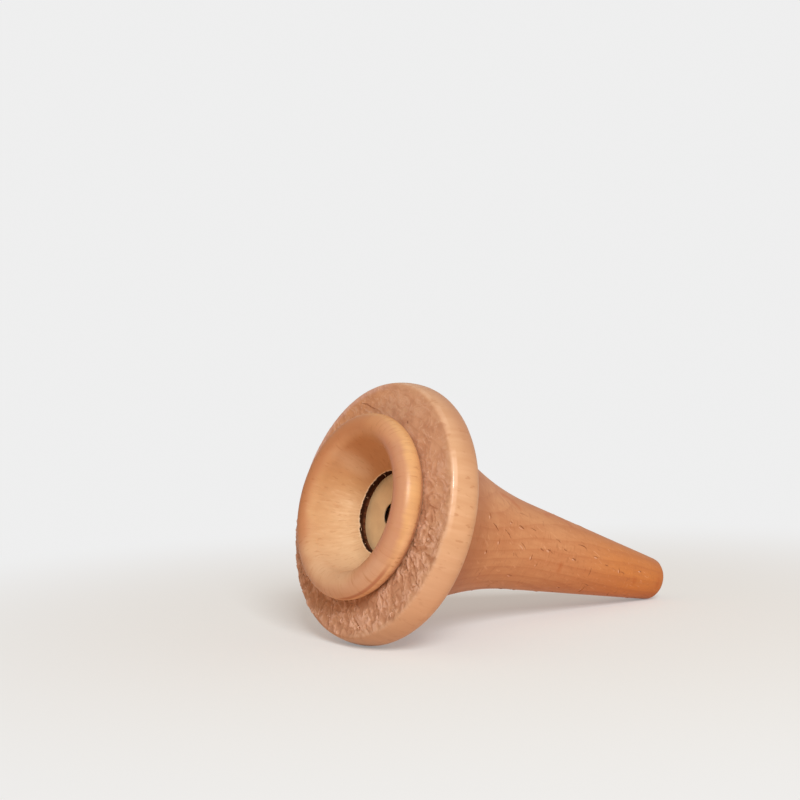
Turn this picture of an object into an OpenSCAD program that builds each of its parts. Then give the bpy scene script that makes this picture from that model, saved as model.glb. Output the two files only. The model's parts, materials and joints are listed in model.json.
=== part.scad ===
// A blown bird call of turned beech, lying on its side.
//
// Every piece is turned about one axis. It is drawn upright, with its outline as [radius, z] points:
// z = 0 is the front face of the flange, the narrow end is at z = body_length, and the mouth is below 0.
// as_it_lies() then lays the pieces down, so that the call touches the ground, z = 0, at two points:
// the back edge of the flange and the rounded edge of the narrow end.

/* [Horn] */
// Length of the wooden body, from the flange's front face to the narrow end
body_length = 68; // [60:1:80]
// Diameter of the flange at its widest
flange_d = 44; // [42:1:50]
// How far the widest point lies behind the front face
widest_at = 3.4; // [3:0.2:4.4]
// Radius of the crowned edge, from the front face to the widest point
crown_r = 8; // [6.5:0.5:14]
// Radius of the small rounding between the front face and the crowned edge
front_round = 0.5; // [0.3:0.1:0.9]
// Radius of the rounding at the back of the flange
back_round = 3.2; // [2.6:0.2:3.8]
// Width of the flat ring left on the back of the flange
back_flat = 1.6; // [1.4:0.1:2.2]
// Radius of the fillet between that ring and the flared bell
bell_fillet = 1.5; // [0.8:0.1:2]
// Diameter of the horn where its straight cone turns into the flared bell
waist_d = 15.8; // [13:0.2:18]
// Distance of that point from the flange's front face
waist_at = 32.5; // [28:0.5:38]
// Diameter of the narrow end, before its edge is rounded
tip_d = 7.8; // [7.4:0.2:10]
// Radius of the rounding on the narrow end
tip_round = 1.2; // [0.8:0.1:1.4]
// Diameter of the bore along the horn
bore_d = 4; // [3:0.25:4.5]

/* [Mouth cup] */
// Diameter of the spigot that is glued into the horn
spigot_d = 24; // [22.5:0.25:26]
// How far the raised lip ring stands out past the spigot, all round
lip_overhang = 3.5; // [3:0.1:4]
// Thickness of the round bead that forms the lip ring
rim_bead = 4.6; // [4:0.1:5]
// How far the bead's foot is cut back under its widest point
foot_cut = 1.1; // [0.7:0.1:1.4]
// Radius of the hollowed bowl, seen in section
bowl_r = 11; // [9:0.5:16]
// Depth of the bowl below the flange's face
bowl_depth = 3.6; // [3:0.2:4.4]
// Diameter of the throat at the bottom of the bowl
throat_d = 14; // [11:0.5:15]
// Length of the throat, from the bowl down to the front plate
throat_land = 1.2; // [0.8:0.1:2]
// Width of the chamfer on the spigot's leading edge
spigot_chamfer = 0.4; // [0.2:0.1:0.6]

/* [Whistle] */
// Thickness of the two brass plates
plate_t = 0.6; // [0.4:0.1:1]
// Diameter of the hole through each plate
hole_d = 4; // [2.5:0.25:5]
// Gap between the plates, which is the height of the spacer ring
chamber_h = 3.5; // [2.5:0.25:4.5]
// Wall of the spacer ring, round the whistle's chamber
ring_wall = 3.5; // [2.5:0.25:4.5]

/* [Fits] */
// Radial gap left for glue, or for pressing a piece in
fit_gap = 0.05; // [0.03:0.01:0.1]

/* [Hidden] */

// Segments in each turned arc, facets round the axis, and how far a cut runs past its face
arc_steps = 20;
$fn = 96;
overrun = 1;

// Radii that follow from the diameters
flange_r = flange_d / 2;
waist_r = waist_d / 2;
tip_r = tip_d / 2;
bead_r = rim_bead / 2;
throat_r = throat_d / 2;
spigot_r = spigot_d / 2;
rim_r = spigot_r + lip_overhang;
foot_r = rim_r - foot_cut;

// Where each piece of the stack starts, counted from the flange's front face
front_plate_z = bowl_depth + throat_land;
spacer_z = front_plate_z + plate_t;
rear_plate_z = spacer_z + chamber_h;
seat_z = rear_plate_z + plate_t;
// The loose pieces share the diameter of the spigot that holds them down
stack_r = spigot_r;
chamber_r = stack_r - ring_wall;

// The points of an arc, in the order of its two angles
function arc(centre, r, from, to) = [
    for (i = [0:arc_steps])
        let (a = from + (to - from) * i / arc_steps)
        [centre[0] + r * cos(a), centre[1] + r * sin(a)]
];

// The direction of a vector, as an angle from 0 to 360
function heading(v) = let (a = atan2(v[1], v[0])) a < 0 ? a + 360 : a;

// Flange: a crowned edge and a rounded back, with one small rounding at the front face
crown_centre = [flange_r - crown_r, widest_at];
front_round_centre = [
    crown_centre[0] + sqrt(pow(crown_r - front_round, 2) - pow(widest_at - front_round, 2)),
    front_round
];
back_centre = [flange_r - back_round, widest_at];
back_z = widest_at + back_round;

// Cone: its half angle, and the outward normal of its side
cone_angle = atan((waist_r - tip_r) / (body_length - waist_at));
cone_normal = [cos(cone_angle), sin(cone_angle)];
cone_uphill = [sin(cone_angle), -cos(cone_angle)];
waist = [waist_r, waist_at];
tip_centre = [
    tip_r - tip_round * (1 - sin(cone_angle)) / cos(cone_angle),
    body_length - tip_round
];

// Bell: one arc that leaves the cone without a kink and would meet the flange's back at bell_corner
bell_corner = [flange_r - back_round - back_flat, back_z];
bell_reach = bell_corner - waist;
bell_rise = bell_reach * cone_normal;
bell_run = bell_reach * cone_uphill;
bell_r = (pow(bell_run, 2) + pow(bell_rise, 2)) / (2 * bell_rise);
bell_centre = waist + bell_r * cone_normal;
fillet_z = back_z + bell_fillet;
fillet_centre = [
    bell_centre[0] - sqrt(pow(bell_r - bell_fillet, 2) - pow(bell_centre[1] - fillet_z, 2)),
    fillet_z
];
fillet_heading = heading(fillet_centre - bell_centre);

// Cup: the bowl's arc runs out of the bead without a kink and ends at the edge of the throat
bead_centre = [rim_r - bead_r, -bead_r];
throat_edge = [throat_r, bowl_depth];
to_bead = bead_centre - throat_edge;
bead_distance = norm(to_bead);
bowl_along = (pow(bowl_r, 2) - pow(bead_r + bowl_r, 2) + pow(bead_distance, 2)) / (2 * bead_distance);
bowl_aside = sqrt(pow(bowl_r, 2) - pow(bowl_along, 2));
bowl_centre = throat_edge + bowl_along * to_bead / bead_distance
    + bowl_aside * [to_bead[1], -to_bead[0]] / bead_distance;
bowl_start = heading(bead_centre - bowl_centre);
bowl_end = heading(throat_edge - bowl_centre);
// Angles on the bead where its inner side meets the bowl and where its outer side meets the foot
bead_inner = heading(bowl_centre - bead_centre);
bead_outer = acos((foot_r - bead_centre[0]) / bead_r);

// Lying down: the tilt at which the back of the flange and the narrow end touch one plane
contact_span = tip_centre - back_centre;
tilt = atan2(-contact_span[0], contact_span[1])
    + asin((back_round - tip_round) / norm(contact_span));
// Height of the flange's centre over the ground, and the call's reach to either side of it
centre_height = back_centre * [cos(tilt), sin(tilt)] + back_round;
reach_mouth = bead_centre * [sin(tilt), -cos(tilt)] + bead_r;
reach_tip = tip_centre * [sin(tilt), cos(tilt)] + tip_round;
centre_x = (reach_mouth - reach_tip) / 2;

module as_it_lies() {
    translate([centre_x, 0, centre_height]) rotate([0, 90 + tilt, 0]) children();
}

module horn_outline() {
    polygon(concat(
        [[0, 0]],
        arc(front_round_centre, front_round, 270, heading(front_round_centre - crown_centre)),
        arc(crown_centre, crown_r, heading(front_round_centre - crown_centre), 360),
        arc(back_centre, back_round, 0, 90),
        arc(fillet_centre, bell_fillet, 270, fillet_heading),
        arc(bell_centre, bell_r, fillet_heading, 180 + cone_angle),
        arc(tip_centre, tip_round, cone_angle, 90),
        [[0, body_length]]
    ));
}

// The flange and the long horn, turned from one piece of wood with its grain along the axis
module horn_body() {
    color([0.80, 0.58, 0.40]) as_it_lies() difference() {
        rotate_extrude() horn_outline();
        translate([0, 0, -overrun]) cylinder(h = seat_z + overrun, r = spigot_r + fit_gap);
        cylinder(h = body_length + overrun, r = bore_d / 2);
    }
}

module cup_outline() {
    polygon(concat(
        arc(bowl_centre, bowl_r, bowl_start, bowl_end),
        [
            [throat_r, front_plate_z],
            [spigot_r - spigot_chamfer, front_plate_z],
            [spigot_r, front_plate_z - spigot_chamfer],
            [spigot_r, 0],
            [foot_r, 0]
        ],
        arc(bead_centre, bead_r, bead_outer, bead_inner - 360)
    ));
}

// The lip ring, bowl, throat and spigot, turned as one insert
module mouth_cup() {
    color([0.88, 0.68, 0.46]) as_it_lies() rotate_extrude() cup_outline();
}

// A round plate or ring of the stack, with a hole along the axis
module stack_piece(z, height, hole_r) {
    as_it_lies() translate([0, 0, z]) difference() {
        cylinder(h = height, r = stack_r);
        translate([0, 0, -overrun]) cylinder(h = height + 2 * overrun, r = hole_r);
    }
}

module front_plate() {
    color([0.72, 0.58, 0.36]) stack_piece(front_plate_z, plate_t, hole_d / 2);
}

module spacer_ring() {
    color([0.80, 0.62, 0.42]) stack_piece(spacer_z, chamber_h, chamber_r);
}

module rear_plate() {
    color([0.72, 0.58, 0.36]) stack_piece(rear_plate_z, plate_t, hole_d / 2);
}

horn_body();
mouth_cup();
front_plate();
spacer_ring();
rear_plate();
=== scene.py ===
import json
import math
import random

import bmesh
import bpy
import numpy as np
from bpy.props import FloatProperty, FloatVectorProperty, IntProperty, PointerProperty
from mathutils import Matrix, Vector


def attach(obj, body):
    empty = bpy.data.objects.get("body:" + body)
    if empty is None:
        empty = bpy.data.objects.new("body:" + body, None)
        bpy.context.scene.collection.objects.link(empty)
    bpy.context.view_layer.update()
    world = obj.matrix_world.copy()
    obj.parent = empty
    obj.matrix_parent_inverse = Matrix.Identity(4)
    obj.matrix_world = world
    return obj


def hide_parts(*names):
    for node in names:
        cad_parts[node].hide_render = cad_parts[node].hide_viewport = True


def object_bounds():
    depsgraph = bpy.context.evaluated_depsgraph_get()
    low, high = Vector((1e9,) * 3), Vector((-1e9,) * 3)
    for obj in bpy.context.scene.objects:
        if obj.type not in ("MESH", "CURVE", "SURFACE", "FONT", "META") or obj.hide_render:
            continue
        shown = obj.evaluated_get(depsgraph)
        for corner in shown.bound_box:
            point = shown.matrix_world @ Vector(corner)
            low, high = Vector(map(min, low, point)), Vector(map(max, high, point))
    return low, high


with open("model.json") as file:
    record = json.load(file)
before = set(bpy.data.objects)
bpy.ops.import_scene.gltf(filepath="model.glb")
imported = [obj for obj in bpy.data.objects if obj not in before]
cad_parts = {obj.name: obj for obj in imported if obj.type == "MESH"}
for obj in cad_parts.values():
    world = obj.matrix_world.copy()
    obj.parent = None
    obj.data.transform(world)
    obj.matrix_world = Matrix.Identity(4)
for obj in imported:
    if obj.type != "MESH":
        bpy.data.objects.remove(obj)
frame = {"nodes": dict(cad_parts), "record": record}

CAD_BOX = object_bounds()

bl_info = {
    "name": "Turned Bird Call",
    "version": (1, 0, 0),
    "blender": (4, 5, 0),
    "location": "3D View > Sidebar > Bird Call",
    "description": "Dresses the bird call in turned beech and dull brass, and sets its stage",
    "category": "Object",
}

MM = 0.001
BODY = "root"

# The call's own frame: z runs along the turning axis from the flange's face to the narrow end,
# x points up and y to the side that the camera sees. Lengths in it are in millimetres.
OUTLET = next(mount for mount in frame["record"]["mounts"] if mount["name"] == "outlet_bore")
TIP = Vector(OUTLET["pos_m"])
AXIS = Vector(OUTLET["axis"]).normalized()
SIDE = Vector((0, -1, 0))
UP = SIDE.cross(AXIS)


def vertices_of(node):
    """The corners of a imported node's mesh, in metres, as rows."""
    mesh = frame["nodes"][node].data
    flat = np.empty(len(mesh.vertices) * 3, np.float32)
    mesh.vertices.foreach_get("co", flat)
    return flat.reshape(-1, 3).astype(float)


def placed(name, data):
    """A new object in the scene that shows the data."""
    made = bpy.data.objects.new(name, data)
    bpy.context.scene.collection.objects.link(made)
    return made


BODY_LENGTH = -float(((vertices_of("horn_body") - np.array(TIP)) @ np.array(AXIS)).min()) / MM
FACE = TIP - AXIS * BODY_LENGTH * MM
TURNED = Matrix((UP, SIDE, AXIS)).transposed()
TO_TURNED = TURNED.transposed()


# Outlines

# Corners of one outline that lie this close, in mm, are the same one
SAME_POINT = 0.02
# A bend sharper than this, in degrees, is a real corner and not a step of a curve
CORNER_BEND = 25
# Length of the fine steps in which an outline is followed, in mm
FINE_STEP = 0.02


def cross(a, b):
    """The z component of the cross product of flat vectors."""
    return a[..., 0] * b[..., 1] - a[..., 1] * b[..., 0]


def outline_of(node):
    """A turned node's closed outline, counterclockwise, as rows of (radius, z)."""
    local = (vertices_of(node) - np.array(FACE)) @ np.array(TURNED) / MM
    flat = np.stack([np.hypot(local[:, 0], local[:, 1]), local[:, 2]], 1)
    cells, first, cell_of = np.unique(
        np.round(flat / SAME_POINT), axis=0, return_index=True, return_inverse=True)
    corners = []
    corner_of_cell = []
    for point in flat[first]:
        known = [i for i, corner in enumerate(corners) if np.hypot(*(corner - point)) < SAME_POINT]
        if not known:
            corners.append(point)
        corner_of_cell.append(known[0] if known else len(corners) - 1)
    corners = np.array(corners)
    corner_of = np.array(corner_of_cell)[cell_of.ravel()]
    links = {i: set() for i in range(len(corners))}
    for edge in frame["nodes"][node].data.edges:
        a, b = (int(corner_of[v]) for v in edge.vertices)
        if a != b and not passes_a_corner(corners, a, b):
            links[a].add(b)
            links[b].add(a)
    if any(len(near) != 2 for near in links.values()):
        raise RuntimeError(f"{node} is no turned piece: its outline isn't one closed line")
    order = [0, min(links[0])]
    while len(order) < len(corners):
        order.append(next(i for i in links[order[-1]] if i != order[-2]))
    outline = corners[order]
    return outline if cross(outline, np.roll(outline, -1, 0)).sum() > 0 else outline[::-1]


def passes_a_corner(corners, a, b):
    """True where another corner lies on the line from corner a to corner b."""
    run = corners[b] - corners[a]
    length = np.hypot(*run)
    along = (corners - corners[a]) @ run / length
    aside = np.abs(cross(corners - corners[a], run)) / length
    return bool(((aside < SAME_POINT) & (along > SAME_POINT) & (along < length - SAME_POINT)).any())


def followed(outline, softness):
    """The outline in fine even steps, smooth where its curves are, its corners rounded by softness."""
    before = outline - np.roll(outline, 1, 0)
    after = np.roll(outline, -1, 0) - outline
    bend = np.degrees(np.arctan2(cross(before, after), (before * after).sum(1)))
    smooth = np.abs(bend) < CORNER_BEND
    blended = before + after
    points = []
    for i, start in enumerate(outline):
        following = (i + 1) % len(outline)
        end = outline[following]
        chord = end - start
        length = np.hypot(*chord)
        leave = blended[i] if smooth[i] else chord
        arrive = blended[following] if smooth[following] else chord
        leave = leave / np.hypot(*leave) * length
        arrive = arrive / np.hypot(*arrive) * length
        t = np.arange(0, 1, min(0.5, FINE_STEP / length))[:, None]
        points.append(
            (2 * t**3 - 3 * t**2 + 1) * start + (t**3 - 2 * t**2 + t) * leave
            + (3 * t**2 - 2 * t**3) * end + (t**3 - t**2) * arrive)
    line = np.vstack(points)
    run = np.concatenate([[0], np.cumsum(np.hypot(*(np.roll(line, -1, 0) - line).T))])
    closed = np.vstack([line, line[:1]])
    count = int(run[-1] / FINE_STEP)
    even = np.arange(count) * run[-1] / count
    line = np.stack([np.interp(even, run, closed[:, k]) for k in (0, 1)], 1)
    blur = np.exp(-2 * (np.pi * np.fft.fftfreq(count, FINE_STEP) * softness) ** 2)
    return np.fft.ifft(np.fft.fft(line, axis=0) * blur[:, None], axis=0).real


def rings_along(line, fineness):
    """Where rings go along a fine outline: their indices, spaced as fineness says for each point."""
    spacing = np.array([fineness(radius, z)[0] for radius, z in line])
    count = np.concatenate([[0], np.cumsum(FINE_STEP / spacing)])
    rings = int(count[-1])
    return np.searchsorted(count, np.arange(rings) * count[-1] / rings)


# Nodes

class Wire:
    """A socket in a sum: each operator adds the Math node that works it out."""

    def __init__(self, bench, socket):
        self.bench = bench
        self.socket = socket

    def __add__(self, other):
        return self.bench.call("ADD", self, other)

    def __sub__(self, other):
        return self.bench.call("SUBTRACT", self, other)

    def __rsub__(self, other):
        return self.bench.call("SUBTRACT", other, self)

    def __mul__(self, other):
        return self.bench.call("MULTIPLY", self, other)

    def __truediv__(self, other):
        return self.bench.call("DIVIDE", self, other)

    def __mod__(self, other):
        return self.bench.call("FLOORED_MODULO", self, other)

    def __neg__(self):
        return self.bench.call("MULTIPLY", self, -1)

    def __abs__(self):
        return self.bench.call("ABSOLUTE", self)

    __radd__ = __add__
    __rmul__ = __mul__

    def rise(self, start, end):
        """A smooth step from 0, where this is start, to 1, where it is end."""
        return self.bench.node("ShaderNodeMapRange", {"Value": self, "From Min": start, "From Max": end},
                               interpolation_type="SMOOTHSTEP")


class Bench:
    """A node tree, and the few ways in which nodes are added to it."""

    def __init__(self, tree):
        self.tree = tree

    def node(self, kind, sockets=None, out=0, **settings):
        """Adds a node, its settings first, then its sockets' values or links. Gives one output."""
        made = self.tree.nodes.new(kind)
        for name, value in settings.items():
            if name == "stops":
                self.set_stops(made.color_ramp, value)
            else:
                setattr(made, name, value)
        for name, value in (sockets or {}).items():
            self.feed(made.inputs[name], value)
        return Wire(self, made.outputs[out]) if len(made.outputs) else made

    def feed(self, socket, value):
        for item in value if isinstance(value, list) else [value]:
            if isinstance(item, Wire):
                self.tree.links.new(item.socket, socket)
            else:
                socket.default_value = item

    @staticmethod
    def set_stops(ramp, stops):
        while len(ramp.elements) < len(stops):
            ramp.elements.new(1)
        for element, (place, level) in zip(ramp.elements, stops):
            element.position = place
            element.color = (level, level, level, 1)

    def call(self, operation, *values):
        """One Math node."""
        return self.node("ShaderNodeMath", dict(enumerate(values)), operation=operation)

    def split(self, vector):
        parts = self.tree.nodes.new("ShaderNodeSeparateXYZ")
        self.feed(parts.inputs[0], vector)
        return [Wire(self, socket) for socket in parts.outputs]

    def join(self, x, y, z):
        return self.node("ShaderNodeCombineXYZ", {0: x, 1: y, 2: z})

    def vector(self, operation, first, second=(0, 0, 0), out=0):
        return self.node("ShaderNodeVectorMath", {0: first, 1: second}, out, operation=operation)

    def length(self, vector):
        return self.vector("LENGTH", vector, out="Value")

    def scaled(self, vector, factor):
        return self.node("ShaderNodeVectorMath", {"Vector": vector, "Scale": factor}, operation="SCALE")

    def spun(self, vector, angle):
        """A vector turned about z."""
        return self.node("ShaderNodeVectorRotate", {"Vector": vector, "Angle": angle},
                         rotation_type="Z_AXIS")

    def noise(self, vector, stretch, detail=2.0, roughness=0.5, twist=0.0, out=0):
        """Noise from 0 to 1, most of it near 0.5, with stretch as its waves per unit of length."""
        return self.node("ShaderNodeTexNoise", {
            "Vector": self.vector("MULTIPLY", vector, stretch), "Scale": 1.0,
            "Detail": detail, "Roughness": roughness, "Distortion": twist}, out)

    def cells(self, vector, stretch, out="Distance"):
        return self.node("ShaderNodeTexVoronoi", {
            "Vector": self.vector("MULTIPLY", vector, stretch), "Scale": 1.0}, out)

    def mix(self, factor, first, second):
        """Two colours mixed."""
        return self.node("ShaderNodeMix", {0: factor, 6: first, 7: second}, 2, data_type="RGBA")

    def coated(self, colour, *coats):
        """A colour under coats of others: each gives how much it covers, then its red, green and blue."""
        for cover, *coat in coats:
            colour = self.mix(cover, colour, (*coat, 1))
        return colour

    def mark(self, name):
        """A mark on the piece's surface, read by its material."""
        return self.node("ShaderNodeAttribute", {}, "Fac", attribute_name=name)

    def kept(self, name, kind):
        """A named attribute of the geometry."""
        return self.node("GeometryNodeInputNamedAttribute", {"Name": name}, data_type=kind)

    def keep(self, piece, name, value, kind="FLOAT"):
        """Keeps a value at each point of the piece, as a named attribute."""
        return self.node("GeometryNodeStoreNamedAttribute", {
            "Geometry": piece, "Name": name, "Value": value}, data_type=kind)

    def shape_of(self, helper):
        """The geometry of a helper object."""
        return self.node("GeometryNodeObjectInfo", {"Object": helper}, "Geometry")


def emptied(owner):
    """A bench for the node tree of a material or a world, which starts without nodes."""
    owner.use_nodes = True
    owner.node_tree.nodes.clear()
    return Bench(owner.node_tree)


# Turned pieces

COLUMNS = 768
# Vertices of a turned piece that lie this close, in metres, become one
MERGED = MM / 1000
# Named attributes that the outline's points carry into the turned piece
RING_FOLD = "fold"
RING_NORMAL = "out"
# Marks that the surface keeps for its finish
CHECK = "check"
SMEAR = "smear"
FIBRE = "fibre"
SOCKET_KINDS = {
    float: "NodeSocketFloat", int: "NodeSocketInt", bpy.types.Object: "NodeSocketObject"}
# How thick a stick's ends are, as a share of its middle
STICK_ENDS = 0.2
# Least and most that a fibre's bend, breadth and length vary by, as factors
FIBRE_RANGE = ((-1.2, 0.7, 0.4), (1.2, 1.2, 1.3))
# How far a stroke strays from its line, in mm
STROKE_SWAY = 0.28


def outline_mesh(name, node, softness, fineness):
    """The outline as points in order, each with its outward normal and how many columns it folds."""
    line = followed(outline_of(node), softness)
    along = np.roll(line, -1, 0) - np.roll(line, 1, 0)
    along /= np.hypot(*along.T)[:, None]
    rings = rings_along(line, fineness)
    mesh = bpy.data.meshes.new(name)
    mesh.from_pydata([(r * MM, 0, z * MM) for r, z in line[rings]], [], [])
    fold = mesh.attributes.new(RING_FOLD, "INT", "POINT")
    fold.data.foreach_set("value", [fineness(r, z)[1] for r, z in line[rings]])
    normal = mesh.attributes.new(RING_NORMAL, "FLOAT_VECTOR", "POINT")
    normal.data.foreach_set("vector", [c for t in along[rings] for c in (t[1], 0, -t[0])])
    return mesh


def lathe(bench, outline, columns):
    """Turns the outline about z: a grid of rings and columns, closed where its points meet."""
    rings = bench.node("GeometryNodeAttributeDomainSize", {"Geometry": outline}, "Point Count")
    grid = bench.node("GeometryNodeMeshGrid", {"Vertices X": rings + 1, "Vertices Y": columns + 1})
    index = bench.node("GeometryNodeInputIndex")
    ring = bench.call("FLOOR", (index + 0.5) / (columns + 1))
    column = index - ring * (columns + 1)

    def on_ring(value, kind):
        return bench.node("GeometryNodeSampleIndex", {
            "Geometry": outline, "Value": value, "Index": ring % rings}, data_type=kind)

    fold = on_ring(bench.kept(RING_FOLD, "INT"), "INT")
    angle = bench.call("FLOOR", (column + 0.5) / fold) * fold / columns * math.tau
    place = bench.spun(on_ring(bench.node("GeometryNodeInputPosition"), "FLOAT_VECTOR"), angle)
    piece = bench.node("GeometryNodeSetPosition", {"Geometry": grid, "Position": place})
    normal = bench.spun(on_ring(bench.kept(RING_NORMAL, "FLOAT_VECTOR"), "FLOAT_VECTOR"), angle)
    piece = bench.keep(piece, RING_NORMAL, normal, "FLOAT_VECTOR")
    piece = bench.node("GeometryNodeMergeByDistance", {"Geometry": piece, "Distance": MERGED})
    return bench.node("GeometryNodeFlipFaces", {"Mesh": piece})


def turned_piece(name, node, material, softness, fineness, wear, inputs):
    """Turns a node's outline, wears its surface and puts it where the node is, which it replaces."""
    outline = placed(name, outline_mesh(name, node, softness, fineness))
    tree = bpy.data.node_groups.new(name, "GeometryNodeTree")
    bench = Bench(tree)
    for way in ("INPUT", "OUTPUT"):
        tree.interface.new_socket("Geometry", in_out=way, socket_type="NodeSocketGeometry")
    inputs = {"Columns": COLUMNS, **inputs}
    sockets = [tree.interface.new_socket(label, in_out="INPUT", socket_type=SOCKET_KINDS[type(value)])
               for label, value in inputs.items()]
    entry = tree.nodes.new("NodeGroupInput")
    given = {socket.name: Wire(bench, socket) for socket in entry.outputs if socket.name}
    piece = wear(bench, lathe(bench, given["Geometry"], given["Columns"]), given)
    piece = bench.node("GeometryNodeTransform", {
        "Geometry": piece, "Translation": FACE, "Rotation": TURNED.to_euler()})
    piece = bench.node("GeometryNodeSetShadeSmooth", {"Geometry": piece})
    piece = bench.node("GeometryNodeRealizeInstances", {"Geometry": piece})
    piece = bench.node("GeometryNodeSetMaterial", {"Geometry": piece, "Material": material})
    bench.feed(tree.nodes.new("NodeGroupOutput").inputs[0], piece)
    modifier = outline.modifiers.new("Turning", "NODES")
    modifier.node_group = tree
    for socket, value in zip(sockets, inputs.values()):
        modifier[socket.identifier] = value
    finished = bpy.data.meshes.new_from_object(
        outline.evaluated_get(bpy.context.evaluated_depsgraph_get()))
    outline.modifiers.clear()
    for helper in inputs.values():
        if isinstance(helper, bpy.types.Object):
            bpy.data.objects.remove(helper)
    outline.data = finished
    finished.name = name
    check_closed(finished)
    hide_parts(node)
    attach(outline, BODY)


def check_closed(mesh):
    """Raises an error if a turned piece has an open edge or is inside out."""
    shell = bmesh.new()
    shell.from_mesh(mesh)
    opened = sum(1 for edge in shell.edges if not edge.is_manifold)
    volume = shell.calc_volume(signed=True)
    shell.free()
    if opened or volume <= 0:
        raise RuntimeError(f"{mesh.name}: {opened} open edges, volume {volume / MM**3:.1f} mm3")


def swept(bench, curve, thickness):
    """A curve as a six-sided stick, thin towards both ends, with its thickness in mm at the middle."""
    share = bench.node("GeometryNodeSplineParameter")
    section = bench.node("GeometryNodeCurvePrimitiveCircle", {"Resolution": 6, "Radius": 0.5 * MM})
    swelling = STICK_ENDS + bench.call("SINE", share * math.pi) * (1 - STICK_ENDS)
    return bench.node("GeometryNodeCurveToMesh", {
        "Curve": curve, "Profile Curve": section, "Fill Caps": True, "Scale": swelling * thickness})


def joined(bench, piece, extra, mark):
    """Joins more faces to the piece, and marks them for its finish."""
    return bench.node("GeometryNodeJoinGeometry", {"Geometry": [piece, bench.keep(extra, mark, 1.0)]})


def with_fibres(bench, piece, stems, heading, spread, length, thickness, seed):
    """Joins a thin bent fibre to the piece at each stem, along heading give or take spread."""
    def draw(low, high, offset):
        return bench.node("FunctionNodeRandomValue", {0: low, 1: high, "Seed": seed + offset},
                          data_type="FLOAT_VECTOR")

    bent = bench.node("GeometryNodeCurveQuadraticBezier", {
        "Resolution": 4, "Start": (0, 0, 0), "Middle": (length * 0.5 * MM, 0, length * 0.5 * MM),
        "End": (0, 0, length * MM)})
    strayed = bench.vector("MULTIPLY", spread, draw((-1,) * 3, (1,) * 3, 1))
    turn = bench.node("FunctionNodeAlignRotationToVector", {
        "Vector": bench.vector("ADD", heading, strayed)}, axis="Z")
    fibres = bench.node("GeometryNodeInstanceOnPoints", {
        "Points": stems, "Instance": swept(bench, bent, thickness), "Rotation": turn,
        "Scale": draw(*FIBRE_RANGE, 2)})
    fibres = bench.node("GeometryNodeRealizeInstances", {"Geometry": fibres})
    return joined(bench, piece, fibres, FIBRE)


def with_strokes(bench, piece, lines, thickness, mark):
    """Joins a helper's lines to the piece as crooked strokes that lie almost flush with its surface."""
    place = place_in_mm(bench).point
    sway = bench.vector("SUBTRACT", bench.noise(place, (2.2, 2.2, 2.2), out="Color"), (0.5, 0.5, 0.5))
    curve = bench.node("GeometryNodeSetPosition", {
        "Geometry": bench.node("GeometryNodeMeshToCurve", {"Mesh": bench.shape_of(lines)}),
        "Offset": bench.scaled(sway, STROKE_SWAY * MM)})
    uneven = 0.5 + bench.noise(place, (0.9, 0.9, 0.9))
    return joined(bench, piece, swept(bench, curve, uneven * thickness), mark)


def pushed(bench, piece, amount):
    """Moves the surface outwards along the turned outline's normal, by an amount in millimetres."""
    return bench.node("GeometryNodeSetPosition", {
        "Geometry": piece,
        "Offset": bench.scaled(bench.kept(RING_NORMAL, "FLOAT_VECTOR"), amount * MM)})


class Place:
    """Where a point of a turned piece lies: x, y and z in mm, its radius, and the way outwards."""

    def __init__(self, bench, point):
        self.bench = bench
        self.point = point
        self.x, self.y, self.z = bench.split(point)
        self.flat = bench.join(self.x, self.y, 0)
        self.radius = bench.length(self.flat)
        self.outwards = bench.vector("NORMALIZE", self.flat)

    def wrapped(self, girth, run):
        """The point moved to a cylinder of radius girth, at height run, so that marks follow the turning."""
        around = self.bench.scaled(self.outwards, girth)
        return self.bench.vector("ADD", around, self.bench.join(0, 0, run))


def place_in_mm(bench):
    return Place(bench, bench.scaled(bench.node("GeometryNodeInputPosition"), 1 / MM))


# Sizes along the call, in mm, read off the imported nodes
HORN = outline_of("horn_body")
CUP = outline_of("mouth_cup")
SEAT_RADIUS = float(HORN[HORN[:, 1] < 0.01][:, 0].min())
FLANGE_RADIUS = float(HORN[:, 0].max())
BORE_RADIUS = float(HORN[:, 0].min())
SEAT_DEPTH = float(HORN[np.abs(HORN[:, 0] - SEAT_RADIUS) < 0.01][:, 1].max())
RIM_RADIUS = float(CUP[:, 0].max())
THROAT_RADIUS = float(CUP[:, 0].min())
THROAT_EDGE = float(CUP[CUP[:, 0] < THROAT_RADIUS + 0.05][:, 1].min())
HOLE_RADIUS, PLATE_FRONT = (float(size) for size in outline_of("front_plate").min(0))
FOOT_RADIUS = float(CUP[np.abs(CUP[:, 1]) < 0.05][:, 0].max())


# Settings

def millimetres(name, description, default, least, most):
    """A length that a user may change."""
    return FloatProperty(
        name=name, description=f"{description}, in mm", default=default, min=least, max=most)


def colour(name, description, red, green, blue):
    """A colour that a user may change."""
    return FloatVectorProperty(
        name=name, description=description, subtype="COLOR", size=4,
        default=(red, green, blue, 1), min=0, max=1)


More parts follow.
